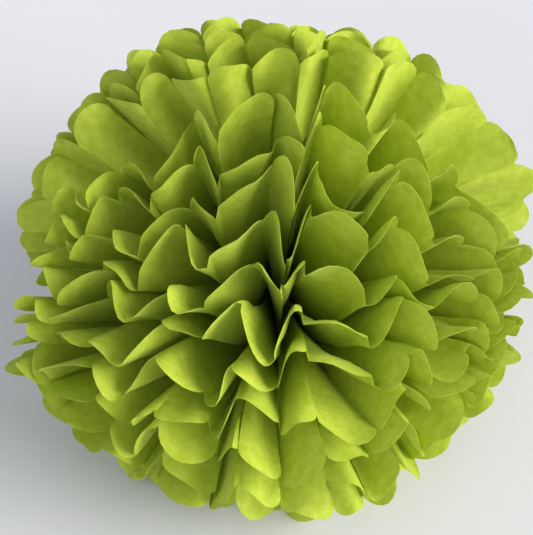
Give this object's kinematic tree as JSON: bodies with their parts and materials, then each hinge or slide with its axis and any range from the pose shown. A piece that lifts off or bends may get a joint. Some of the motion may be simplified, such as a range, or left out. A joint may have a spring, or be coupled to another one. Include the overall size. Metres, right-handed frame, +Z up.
{
  "type": "tissue paper pom pom",
  "caption": "Round pleated tissue paper pom pom: scalloped sheets tied at the waist with wire, fanned out and fluffed into a ball that rests on a table.",
  "frame": {"origin": "on the table, under the middle of the pom pom's box", "axes": "+Z up from the table; the wire tie and the cleft between the two fanned halves run along X; one half is fanned towards -Y (front) and the other towards +Y (rear)"},
  "size_m": [0.2454, 0.2482, 0.2002],
  "materials": {
    "tissue_green": "matte, thin and translucent",
    "wire_green": "satin"
  },
  "bodies": {
    "root": {"tissue_sheet_01": "tissue_green", "tissue_sheet_02": "tissue_green", "tissue_sheet_03": "tissue_green", "tissue_sheet_04": "tissue_green", "tissue_sheet_05": "tissue_green", "tissue_sheet_06": "tissue_green", "tissue_sheet_07": "tissue_green", "tissue_sheet_08": "tissue_green", "tissue_sheet_09": "tissue_green", "tissue_sheet_10": "tissue_green", "tissue_sheet_11": "tissue_green", "tissue_sheet_12": "tissue_green", "wire_tie": "wire_green"}
  },
  "joints": []
}
